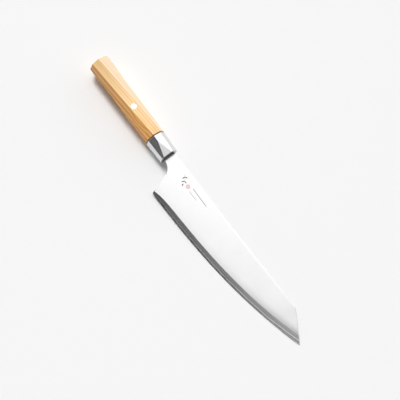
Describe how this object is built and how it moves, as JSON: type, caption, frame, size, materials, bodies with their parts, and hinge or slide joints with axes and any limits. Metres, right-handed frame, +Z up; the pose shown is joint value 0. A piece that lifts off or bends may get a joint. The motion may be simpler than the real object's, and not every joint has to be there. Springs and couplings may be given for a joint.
{
  "type": "gyuto knife",
  "caption": "Chef's knife with an angled tip, a laminated blade with a ground bevel, a faceted steel bolster and a twisted octagonal wooden handle.",
  "frame": {"origin": "middle of the knife's footprint on the floor it lies on, at the floor's level", "axes": "+X from the butt of the handle to the tip of the blade, +Y toward the spine, +Z up out of the right-hand face of the blade, which is rolled about 10 degrees edge down and pitched about 2 degrees tip down, as the knife rests"},
  "size_m": [0.354, 0.0462, 0.0259],
  "materials": {
    "core_steel": "satin",
    "satin_steel": "satin",
    "polished_steel": "polished",
    "spacer_fibre": "satin",
    "handle_wood": "satin",
    "pin_steel": "polished",
    "pin_centre": "satin",
    "cured_resin": "matte"
  },
  "bodies": {
    "root": {"blade_core": "core_steel", "cladding_right": "satin_steel", "cladding_left": "satin_steel", "bolster": "polished_steel", "spacer": "spacer_fibre", "handle": "handle_wood", "handle_pin": "pin_steel", "handle_pin_core": "pin_centre", "tang_bedding": "cured_resin"}
  },
  "joints": []
}
